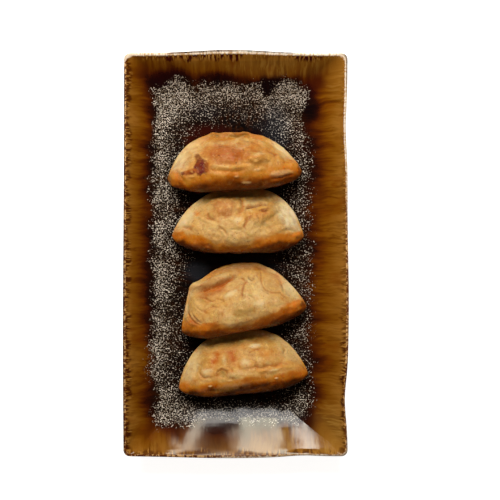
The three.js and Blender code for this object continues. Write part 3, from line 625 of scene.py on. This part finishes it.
def make_plate():
    rings = plate_rings()
    count = len(rings[0][2])
    middles = np.array([[PLATE.well_shift, 0, PLATE.floor], [0, 0, PLATE.foot_recess]])
    points = np.vstack([ring for _, _, ring in rings] + [middles])
    inset = np.concatenate([np.repeat([inset for inset, _, _ in rings], count), [HALF_WIDTH] * 2])
    surface = np.concatenate([np.repeat([kind for _, kind, _ in rings], count), [1, -1]])
    points[:, 2] += unevenness(points, inset, surface)
    attributes = plate_attributes(points[:, 0], points[:, 1], inset, surface)
    piece = new_mesh("plate_glazed", fit_to_node(points, "plate"), tube_faces(len(rings), count), attributes)
    mark_creases(piece.data, count, surface)
    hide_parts("plate")
    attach(piece, "root")
    return piece


# ---------- Dumplings ----------


def section(share, size):
    """How far from the ear-to-ear line and from the middle plane a half section is at each share of it."""
    ridge_share = SIDE_STEPS / (SIDE_STEPS + BELLY_STEPS)
    seal = size.seal / 2
    across = np.clip(1 - np.minimum(share / ridge_share, 1) ** 1.3, 0, 1)
    edge = np.maximum(0, (across - 1) / DOUGH.seal_round + 1)
    filled = np.minimum(1, across * size.filled)
    filling = size.thick * (1 - filled ** DOUGH.side_power) ** DOUGH.side_fullness
    side_r = size.ridge + (size.reach - size.ridge) * across
    side_w = np.hypot(filling, seal * np.sqrt(1 - edge ** 2))
    angle = np.clip((share - ridge_share) / (1 - ridge_share), 0, 1) * math.pi / 2
    power = 2 / DOUGH.belly_power
    belly_r = size.ridge - size.belly * np.sin(angle) ** power
    belly_w = np.hypot(size.thick, seal) * np.abs(np.cos(angle)) ** power
    on_side = share < ridge_share
    return np.where(on_side, side_r, belly_r), np.where(on_side, side_w, belly_w)


def sizes_at(d, t, wobble):
    """The sizes of a dumpling's section at each share t of the way to an ear, -1 to 1."""
    away = np.abs(t)
    lump = sum(out * np.exp(-(((t - at) / width) ** 2)) for at, out, width in table(d.edge))
    near = np.clip((away - 0.78) / 0.22, 0, 1)
    ear = np.where(t < 0, *d.ears) * smooth(near) * np.sqrt(1 - near ** 4)
    ridge = DOUGH.ridge * (1 - away ** 2) + 0.5 * ear
    arc = (1 - away ** np.where(t < 0, *d.arc)) ** 0.8
    reach = np.maximum(ridge, d.reach * arc * (1 + d.lean * t) + lump + wobble)
    band = np.minimum(DOUGH.seal_band, 0.3 * (reach - ridge))
    return Sizes(
        reach=reach, ridge=ridge, filled=(reach - ridge) / np.maximum(1e-6, reach - ridge - band),
        belly=(d.belly + DOUGH.ridge) * (1 - away ** 3.4) ** 0.8 + ear,
        thick=d.thick * (1 - away ** 2.2) ** 0.75 + 0.5 * ear,
        seal=DOUGH.seal * np.minimum(1, 4 * (1 - away)),
    )


def fold_height(fold, x, y):
    """How far a fold raises the skin on one side of its line, its lip, and drops it on the other."""
    (ax, ay), (bx, by), width, lip, drop = fold
    length = math.dist((ax, ay), (bx, by))
    dx, dy = (bx - ax) / length, (by - ay) / length
    along = ((x - ax) * dx + (y - ay) * dy) / length
    aside = ((x - ax) * dy - (y - ay) * dx) / width
    ends = smooth((along + 0.2) / 0.4) * smooth((1.2 - along) / 0.4)
    side = np.where(aside > 0, lip * np.exp(-np.abs(aside)), -drop * np.exp(-np.abs(aside)))
    return ends * side * smooth(np.abs(aside) * 1.8)


def dumpling_form(d, seed):
    """The plain half-moon: a grid of points and the level of its ear-to-ear line; and for each point how far
    above the middle plane it is, how far towards an ear, and how much it is on the sealed edge's crown."""
    half_steps = SIDE_STEPS + BELLY_STEPS
    t = -np.cos(math.pi * np.arange(1, COLUMNS) / COLUMNS)[:, None]
    step = np.arange(AROUND)[None, :]
    top = step <= half_steps
    share = np.where(top, step, AROUND - step) / half_steps
    wobble = 0.4 * noise(np.c_[t * 7, t * 0, t * 0], 1, seed)[:, None] * (1 - t ** 4)
    sizes = sizes_at(d, t, wobble)
    r, w = section(share, sizes)
    crown = smooth(r / sizes.reach, 0.66, 0.95) * (1 - smooth(np.abs(t), 0.35, 0.65))
    w = np.where(top, w, -w)
    tilt = math.atan2(d.thick - DOUGH.press - DOUGH.seal_lift, d.reach - DOUGH.ridge)
    c, s = math.cos(tilt), math.sin(tilt)
    level = d.thick * c + DOUGH.ridge * s - DOUGH.press
    x = d.half * t + 0 * r
    hang = np.where(t < 0, *d.hang) * smooth(np.abs(t), 0.6, 1)
    y = r * c + w * s - hang
    z = level - r * s + w * c - DOUGH.droop * t ** 4
    room = np.clip(w / 3, 0, 1)
    z = z + room * sum(h * np.exp(-(((x - cx) / sx) ** 2) - ((y - cy) / sy) ** 2)
                       for (cx, cy), (sx, sy), h in table(d.lumps))
    z = z + room * sum(fold_height(fold, x, y) for fold in table(d.folds))
    grid = np.stack([x, y, np.maximum(0, z)], axis=-1)
    return grid, level, w.ravel(), (np.abs(t) + 0 * r).ravel(), crown.ravel()


def outward(grid):
    """The surface's own normal at each point of a grid that closes around itself."""
    along = np.gradient(grid, axis=0)
    about = (np.roll(grid, -1, axis=1) - np.roll(grid, 1, axis=1)) / 2
    normal = np.cross(about, along)
    return normal / np.maximum(1e-9, np.linalg.norm(normal, axis=-1, keepdims=True))


def skin_relief(points, depth, away, up, base, seed):
    """Soft pillows over broader dents, in mm, and how much a place is in a crease between pillows."""
    bent = points + 2.2 * np.stack([noise(points, 7, seed + 30 + k) for k in range(3)], axis=1)
    pillow = np.abs(noise(bent, 9, seed + 14))
    wrinkled = smooth(noise(points, 13, seed + 15), -0.35, 0.25) * (1 - base)
    relief = 0.85 * noise(points, 10, seed + 10) + 0.45 * noise(points, 4.8, seed + 11)
    relief += 0.22 * noise(points, 2.4, seed + 12) + 0.09 * noise(points, 1.2, seed + 13)
    relief += wrinkled * 0.7 * np.minimum(0.5, pillow)
    relief *= 0.2 + 0.8 * smooth(np.abs(depth), 0.3, 2.4)
    seals = smooth(away, 0.55, 0.8) * up * (1 - base)
    relief *= 1 - 0.4 * seals - 0.3 * base
    return relief, np.clip(1 - pillow * 11, 0, 1) * wrinkled


def fried_colour(d, points, depth, away, up, below, base, crown, seed):
    """The skin's colour, from how long each place has fried."""
    fried = d.tone + 0.07 * layered(points, 10, 3, seed + 21) + 0.05 * noise(points, 3, seed + 22)
    fried += base * (d.crust + 0.1 * noise(points, 6, seed + 23)) + 0.08 * smooth(away, 0.86, 0.97)
    fried += d.burnt * smooth(below, 2.4, 8) + (1 - up) * 0.12 + 0.13 * crown
    seam = 1 - smooth(np.abs(depth), 1, 2.6)
    fried += seam * (0.1 - 0.24 * smooth(away, 0.35, 0.65)) * (1 - smooth(away, 0.86, 0.97))
    levels, shades = zip(*FRYING)
    shades = np.array([linear(*shade)[:3] for shade in shades])
    return np.stack([np.interp(fried, levels, shades[:, c]) for c in range(3)], axis=1)


def tinted(skin, share, colour):
    """The skin's colours with a share of one of the named ones over them."""
    share = np.clip(share, 0, 1)[:, None]
    return skin * (1 - share) + np.array(linear(*SKIN[colour])[:3]) * share


def add_marks(d, points, up, relief, skin, seed):
    """Adds a dumpling's own domes, paint and lines, and tells where its skin is calm."""
    x, y = points[:, 0], points[:, 1]
    ragged = 0.3 * noise(points, 3.8, seed + 24) + 0.22 * noise(points, 1.6, seed + 25)
    patchy = np.clip(0.95 + 0.35 * noise(points, 2.6, seed + 26), 0, 1.15)
    wander = 0.45 * noise(points, 3, seed + 16) + 0.2 * noise(points, 1.2, seed + 17)
    calm = np.zeros(len(points))
    for middle, half_sizes, turn, height in table(d.domes):
        out = ellipse(x, y, middle, half_sizes, turn) + 0.5 * ragged
        relief = relief + up * height * (1 - smooth(out, 0.2, 1.25))
    for colour, middle, half_sizes, turn, amount, soft in table(d.paint):
        out = ellipse(x, y, middle, half_sizes, turn) + ragged
        share = up * amount * patchy * (1 - smooth(out, 1 - soft, 1 + soft))
        skin = tinted(skin, share, colour)
        if colour in ("milk", "cream"):
            calm = np.maximum(calm, np.clip(share, 0, 1))
    for colour, width, height, amount, *line in table(d.lines):
        apart, inside = polyline(x, y, line)
        apart = np.maximum(0, apart + wander * min(1, width))
        relief = relief + up * inside * height * np.exp(-((apart / width) ** 2))
        shoulder = np.exp(-(((apart - 2.2 * width) / (1.3 * width)) ** 2))
        relief = relief - up * inside * min(0, height) * 0.4 * shoulder
        skin = tinted(skin, up * inside * amount * patchy * np.exp(-((apart / (1.05 * width)) ** 2)), colour)
    return relief, skin, calm


def make_dumpling(name, d, seed):
    grid, level, depth, away, crown = dumpling_form(d, seed)
    flat = grid.reshape(-1, 3)
    line_x, line_y = zip(*table(d.ridge))
    below = np.interp(flat[:, 0], line_x, line_y) - flat[:, 1] + 1.1 * noise(flat, 5, seed + 20)
    base, up = smooth(below, -1.2, 2.6), smooth(depth, -0.5, 1)
    relief, crease = skin_relief(flat, depth, away, up, base, seed)
    skin = fried_colour(d, flat, depth, away, up, below, base, crown, seed)
    # The creases between pillows are tinted rust: browner skin and painted shade.
    relief, skin, calm = add_marks(d, flat, up, relief, tinted(skin, 0.28 * crease, "rust"), seed)
    skin = skin * WARMTH
    relief = relief * smooth(1 - away, 0, 0.08)
    raised = flat + outward(grid).reshape(-1, 3) * relief[:, None]
    raised[:, 2] = np.maximum(0, raised[:, 2])

    turn = math.radians(d.turn)
    spin = np.array([[math.cos(turn), math.sin(turn), 0], [-math.sin(turn), math.cos(turn), 0], [0, 0, 1]])
    ears = np.array([[side * d.half, 0, level - DOUGH.droop] for side in (-1, 1)])
    plain = np.vstack([flat, ears]) @ spin
    fitted = fit_to_node(plain, name, d.spread) - plain
    points = np.vstack([raised, ears]) @ spin + fitted
    points[:, 2] += PLATE.floor + REST_GAP - points[:, 2].min()
    attributes = {
        "skin": np.vstack([skin, skin[0], skin[-1]]),
        "oiled": np.append(base, [1, 1]),
        "calm": np.append(np.maximum(base, calm), [1, 1]),
    }
    piece = new_mesh(f"{name}_fried", points, tube_faces(COLUMNS - 1, AROUND, flipped=True), attributes)
    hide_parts(name)
    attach(piece, "root")
    return piece


# ---------- Materials ----------


def linear(r, g, b):
    """A display colour, 0 to 255, as the scene's linear colour."""
    def one(v):
        v /= 255
        return v / 12.92 if v <= 0.04045 else ((v + 0.055) / 1.055) ** 2.4
    return one(r), one(g), one(b), 1


class Shader:
    """Short names for a material's nodes. Most methods add one and return its output socket."""

    def __init__(self, name):
        self.material = bpy.data.materials.new(name)
        self.material.use_nodes = True
        self.tree = self.material.node_tree
        self.bsdf = self.tree.nodes["Principled BSDF"]

    def node(self, kind, inputs=(), **settings):
        made = self.tree.nodes.new(kind)
        for key, value in settings.items():
            setattr(made, key, value)
        for key, value in dict(inputs).items():
            self.feed(made.inputs[key], value)
        return made

    def feed(self, socket, value):
        if isinstance(value, bpy.types.NodeSocket):
            self.tree.links.new(value, socket)
        else:
            socket.default_value = value

    def attribute(self, name, vector=False):
        return self.node("ShaderNodeAttribute", attribute_name=name).outputs["Vector" if vector else "Fac"]

    def parts(self, name):
        """The three numbers of a vector attribute."""
        return self.node("ShaderNodeSeparateXYZ", {"Vector": self.attribute(name, vector=True)}).outputs

    def place(self):
        """The place on the object in millimetres."""
        raw = self.node("ShaderNodeTexCoord").outputs["Object"]
        return self.scaled(raw, (1000, 1000, 1000))

    def scaled(self, vector, by):
        inputs = {"Vector": vector, "Scale": by}
        return self.node("ShaderNodeMapping", inputs).outputs["Vector"]

    def noise(self, vector, size, detail=2, rough=0.5, warp=0):
        inputs = {"Vector": vector, "Scale": 1 / size, "Detail": detail, "Roughness": rough,
                  "Distortion": warp}
        return self.node("ShaderNodeTexNoise", inputs).outputs["Fac"]

    def math(self, operation, a, b=0, c=0):
        made = self.node("ShaderNodeMath", operation=operation)
        for socket, value in zip(made.inputs, (a, b, c)):
            self.feed(socket, value)
        return made.outputs[0]

    def add(self, a, b):
        return self.math("ADD", a, b)

    def times(self, a, b):
        return self.math("MULTIPLY", a, b)

    def span(self, value, low, high, to_low=0, to_high=1):
        inputs = {"Value": value, "From Min": low, "From Max": high, "To Min": to_low, "To Max": to_high}
        return self.node("ShaderNodeMapRange", inputs, interpolation_type="SMOOTHSTEP").outputs[0]

    def mix(self, share, a, b):
        """Colour a with a share of b over it. A colour is a socket or a display colour."""
        made = self.node("ShaderNodeMix", data_type="RGBA")
        self.feed(made.inputs[0], share)
        for socket, colour in zip(made.inputs[6:8], (a, b)):
            self.feed(socket, linear(*colour) if isinstance(colour, tuple) else colour)
        return made.outputs[2]

    def ramp(self, value, stops):
        """Display colours at their places from 0 to 1, the first and the last one in front."""
        made = self.node("ShaderNodeValToRGB", {"Fac": value})
        elements = made.color_ramp.elements
        for element, (place, colour) in zip(list(elements), stops):
            element.position, element.color = place, linear(*colour)
        for place, colour in stops[2:]:
            elements.new(place).color = linear(*colour)
        return made.outputs["Color"]

    def bump(self, height, depth, normal=None):
        """A bump whose height runs over depth millimetres."""
        inputs = {"Height": height, "Distance": depth * MM, "Strength": 1}
        if normal is not None:
            inputs["Normal"] = normal
        return self.node("ShaderNodeBump", inputs).outputs["Normal"]

    def finish(self, **inputs):
        for key, value in inputs.items():
            self.feed(self.bsdf.inputs[key.replace("_", " ")], value)
        return self.material


def glaze_material():
    m = Shader("reactive_glaze")
    rim, inset = m.attribute("rim", vector=True), m.parts("rim")[2]
    run, within, middle = m.parts("bands")
    right, far, surface = m.parts("side")
    ticks, cream_share, outline = m.parts("edge")
    dark, red, light = m.parts("stain")
    mitre, shade, cool = m.parts("corner")
    place = m.place()

    # Streaks run down the wall from the rim, a little bent, and die away at the mitres.
    bend = m.node("ShaderNodeTexNoise", {"Vector": place, "Scale": 1 / 13, "Detail": 1}).outputs["Color"]
    bend = m.scaled(bend, (4, 4, 0))
    bent = m.node("ShaderNodeVectorMath", {0: rim, 1: bend}, operation="ADD").outputs[0]
    fine = m.noise(m.scaled(bent, (1, 1, 0.13)), 1.5, 3, 0.6)
    fine = m.math("MULTIPLY_ADD", m.math("SUBTRACT", fine, 0.5), m.span(mitre, 0, 1, 1, 0.15), 0.5)
    broad = m.noise(m.scaled(bent, (1, 1, 0.3)), 6, 2, 0.5)
    drift = m.noise(m.scaled(rim, (1, 1, 0.5)), 26, 3, 0.55)
    down = run
    for streak, reach in [(drift, 3.2), (broad, 2.2), (fine, 1.2)]:
        down = m.add(down, m.span(streak, 0.3, 0.7, -reach, reach))
    down = m.add(down, m.math("SUBTRACT", m.times(dark, 7), m.times(light, 3.5)))
    wall = m.ramp(m.math("DIVIDE", down, 30), [
        (0, (150, 98, 34)), (1, (9, 6, 6)),
        (0.1, (142, 92, 28)), (0.22, (130, 79, 16)), (0.34, (115, 65, 6)),
        (0.44, (96, 47, 4)), (0.53, (75, 30, 4)), (0.61, (52, 17, 5)),
        (0.7, (30, 9, 6)), (0.8, (13, 7, 6)),
    ])
    patch = m.noise(place, 16, 2, 0.5)
    streaks = m.times(m.span(fine, 0.46, 0.64), m.span(patch, 0.35, 0.65, 0.1, 0.42))
    wall = m.mix(streaks, wall, (74, 32, 3))
    blotch = m.span(m.noise(m.scaled(rim, (1, 1, 0.6)), 9, 3, 0.6), 0.54, 0.7, 0, 0.5)
    wall = m.mix(m.times(blotch, m.span(down, 21, 14)), wall, (116, 56, 3))
    # Painted shade: the near wall is darker where the shade patches lie.
    wall = m.mix(m.times(shade, 0.7), wall, (72, 34, 2))
    wall = m.mix(m.times(light, m.span(fine, 0.52, 0.36, 0.16, 0.6)), wall, (164, 126, 56))
    wall = m.mix(m.times(red, 0.55), wall, (62, 14, 6))
    wall = m.mix(m.times(dark, 0.6), wall, (18, 4, 9))

    # Dark ticks and light ones just inside the rim.
    tick = m.noise(m.scaled(rim, (1, 1, 0.28)), 1.15, 2, 0.6)
    tick_end = m.math("MULTIPLY_ADD", ticks, 1.8, m.span(broad, 0.3, 0.7, 1.4, 4))
    near_rim = m.span(m.math("SUBTRACT", inset, tick_end), -1.6, 0.6, 1, 0)
    wall = m.mix(m.times(near_rim, m.span(tick, 0.46, 0.36, 0, 0.36)), wall, (196, 146, 74))
    dark_tick = m.times(m.times(near_rim, ticks), m.span(tick, 0.44, 0.52, 0, 1.1))
    wall = m.mix(dark_tick, wall, m.mix(far, (66, 25, 5), (62, 15, 6)))

    # Coral-like pale crystals around the well, ragged at the edges of their band.
    clump = m.span(m.noise(place, 10, 3, 0.6), 0.3, 0.7, -1, 1)
    ragged = m.span(m.noise(place, 2.6, 2, 0.65), 0.3, 0.7, -1, 1)
    outer_edge = m.add(m.add(within, m.times(ragged, 2)), m.times(clump, 1.2))
    outer_edge = m.math("DIVIDE", outer_edge, m.span(right, 0.2, 0.8, 6, 9))
    inner_edge = m.math("DIVIDE", m.add(m.add(middle, m.times(clump, 3)), m.times(ragged, 1.6)), 26)
    density = m.times(m.span(outer_edge, -0.4, 0.8), m.span(inner_edge, -0.35, 1))
    density = m.times(density, m.span(right, 0.2, 0.8, 1, 0.84))
    density = m.times(density, m.span(clump, -1, 0.6, 0.91, 1))
    grain = m.noise(m.scaled(place, (1, 1, 0)), 0.8, 1, 0.5, 0.3)
    scarce = m.math("MULTIPLY_ADD", m.math("SUBTRACT", 1, density), 0.19, 0.517)
    crystal = m.span(m.math("SUBTRACT", grain, scarce), -0.035, 0.035)
    crystal = m.times(crystal, m.span(density, 0.02, 0.2))
    ground = m.mix(m.times(density, 0.85), wall, (31, 14, 3))
    # The cool patches grey the ground and the crystals; at 24,76 and low on the near wall this is a painted
    # sheen of reflected light.
    ground = m.mix(m.times(cool, 0.7), ground, (36, 37, 40))
    bright = m.add(m.noise(place, 1.8, 2, 0.6), m.times(clump, 0.06))
    pale = m.mix(m.span(bright, 0.32, 0.62), (112, 97, 77), (211, 198, 179))
    pale = m.mix(m.times(far, 0.35), pale, (124, 102, 84))
    pale = m.mix(m.times(cool, 0.5), pale, (172, 170, 166))
    colour = m.mix(crystal, ground, pale)

    # The rim is cream here and there and mottled elsewhere, the outside dark, and the foot bare clay.
    cream_end = m.add(m.span(tick, 0.35, 0.65, -0.2, 0.2), m.times(cream_share, 1.9))
    cream_band = m.span(m.math("SUBTRACT", inset, cream_end), -0.35, 0.25, 1, 0)
    cream_band = m.times(cream_band, m.span(cream_share, 0.05, 0.3))
    dots = m.noise(m.scaled(rim, (1, 1, 0.8)), 1.5, 2, 0.6)
    mottled = m.mix(m.span(dots, 0.46, 0.6), (98, 44, 12), (226, 178, 116))
    on_edge = m.span(inset, 1.15, 1.8, 0.95, 0)
    colour = m.mix(on_edge, colour, mottled)
    cream = m.mix(m.span(fine, 0.4, 0.66), (236, 218, 192), (188, 146, 102))
    colour = m.mix(cream_band, colour, cream)
    outer_line = m.times(m.span(inset, 1.25, 0.9), m.times(outline, m.span(dots, 0.34, 0.5, 1, 0.75)))
    colour = m.mix(outer_line, colour, (44, 18, 12))
    outer_run = m.math("DIVIDE", m.add(inset, m.span(broad, 0.3, 0.7, -3, 3)), 24)
    outside = m.ramp(outer_run, [
        (0, (96, 54, 26)), (1, (16, 8, 5)), (0.12, (70, 34, 12)),
        (0.4, (38, 16, 8)), (0.8, (20, 9, 6)),
    ])
    colour = m.mix(m.span(surface, -0.1, -0.9), colour, outside)
    clay = m.mix(m.noise(place, 1.2, 3, 0.7), (176, 142, 104), (206, 178, 140))
    bare = m.span(surface, -1.4, -1.6)
    colour = m.mix(bare, colour, clay)

    rough = m.span(m.noise(place, 14, 2, 0.5), 0.3, 0.7, 0.045, 0.085)
    rough = m.add(rough, m.times(crystal, 0.05))
    rough = m.add(rough, m.times(bare, 0.7))
    normal = m.bump(m.noise(place, 9, 1, 0.4), 0.02)
    normal = m.bump(m.add(fine, m.times(crystal, 0.3)), 0.006, normal)
    return m.finish(Base_Color=colour, Roughness=rough, Normal=normal, IOR=1.5)


def dough_material():
    m = Shader("fried_dough")
    place = m.place()
    mottle = m.noise(place, 3.4, 4, 0.62)
    speck = m.noise(place, 1, 3, 0.6)
    calm = m.span(m.attribute("calm"), 0, 1, 1, 0.32)
    colour = m.attribute("skin", vector=True)
    for pattern, low, high, share, shade in [
        (mottle, 0.48, 0.74, 0.48, (166, 86, 16)), (mottle, 0.46, 0.26, 0.42, (230, 188, 112)),
        (speck, 0.52, 0.72, 0.26, (146, 76, 16)), (speck, 0.46, 0.28, 0.18, (232, 194, 124)),
    ]:
        colour = m.mix(m.times(calm, m.span(pattern, low, high, 0, share)), colour, shade)
    thread = m.math("ABSOLUTE", m.math("SUBTRACT", m.noise(place, 2.6, 2, 0.55, 0.8), 0.5))
    threads = m.times(m.span(thread, 0.016, 0.004), m.span(m.noise(place, 8, 2, 0.5), 0.46, 0.6))
    colour = m.mix(m.times(threads, 0.5), colour, (128, 70, 22))
    dots = m.node("ShaderNodeTexVoronoi", {"Vector": place, "Scale": 0.3}, feature="F1").outputs["Distance"]
    colour = m.mix(m.span(dots, 0.13, 0.06, 0, 0.6), colour, (122, 60, 20))

    rough = m.span(m.noise(place, 5, 3, 0.6), 0.3, 0.7, 0.28, 0.46)
    rough = m.math("SUBTRACT", rough, m.times(m.attribute("oiled"), 0.05))
    normal = m.bump(m.noise(place, 2.4, 3, 0.6), 0.26)
    normal = m.bump(m.math("SUBTRACT", speck, m.times(threads, 0.8)), 0.15, normal)
    return m.finish(Base_Color=colour, Roughness=rough, Normal=normal, IOR=1.36,
                    Subsurface_Weight=0.35, Subsurface_Radius=(1, 0.45, 0.15), Subsurface_Scale=0.0025)


def floor_material():
    m = Shader("studio_floor")
    colour = m.mix(m.noise(m.place(), 120, 2, 0.5), (250, 250, 250), (247, 247, 247))
    return m.finish(Base_Color=colour, Roughness=0.9, Emission_Color=linear(255, 255, 255),
                    Emission_Strength=FLOOR_GLOW)


# ---------- Scene ----------


def add_area(name, place, target, size, power, glossy=True, diffuse=True):
    """A rectangular light at place, in metres, whose face looks at target."""
    light = bpy.data.lights.new(name, "AREA")
    light.shape, light.energy = "RECTANGLE", power
    light.size, light.size_y = size
    lamp = bpy.data.objects.new(name, light)
    bpy.context.scene.collection.objects.link(lamp)
    lamp.location = place
    lamp.rotation_euler = (Vector(target) - Vector(place)).to_track_quat("-Z", "Y").to_euler()
    lamp.visible_glossy, lamp.visible_diffuse = glossy, diffuse
    return lamp


def add_lights():
    """One broad soft window beyond the far end, a weak fill, and the window's panes as reflections."""
    add_area("window_key", **KEY_LIGHT, glossy=False)
    for name, low, high, foot, top, strength, colour, lean in WINDOW_PANES:
        middle, width, height = (low + high) / 2 * MM, (high - low) * MM, (foot + top) / 2
        pane = add_area(name, (middle, WINDOW_PLANE, height), (middle, 0, height), (width, top - foot),
                        strength * width * (top - foot), diffuse=False)
        pane.data.color = linear(*colour)[:3]
        pane.matrix_basis = pane.matrix_basis @ Matrix.Rotation(math.radians(lean), 4, "Z")
    world = bpy.data.worlds.new("studio")
    bpy.context.scene.world = world
    world.use_nodes = True
    background = world.node_tree.nodes["Background"].inputs
    background["Color"].default_value = linear(*FILL_COLOUR)
    background["Strength"].default_value = FILL_STRENGTH
    world.cycles_visibility.glossy = False


def add_floor():
    corners = FLOOR_HALF * np.array([[-1, -1, 0], [1, -1, 0], [1, 1, 0], [-1, 1, 0]])
    floor = new_mesh("studio_floor", corners, [(0, 1, 2, 3)], {})
    floor.location.z = cad_box[0][2] - FLOOR_DROP * MM
    floor.data.materials.append(floor_material())


def add_camera():
    """Straight above, as in the photograph."""
    camera = bpy.data.cameras.new("camera")
    camera.lens, camera.sensor_width = CAMERA_LENS, CAMERA_SENSOR
    view = bpy.data.objects.new("camera", camera)
    bpy.context.scene.collection.objects.link(view)
    view.location = CAMERA_PLACE
    bpy.context.scene.camera = view


def main():
    plate = make_plate()
    plate.data.materials.append(glaze_material())
    dough = dough_material()
    for seed, (name, d) in enumerate(DUMPLINGS.items()):
        make_dumpling(name, d, 40 * (seed + 1)).data.materials.append(dough)
    add_floor()
    add_camera()
    add_lights()
    bpy.context.scene.view_settings.view_transform = "Standard"


main()
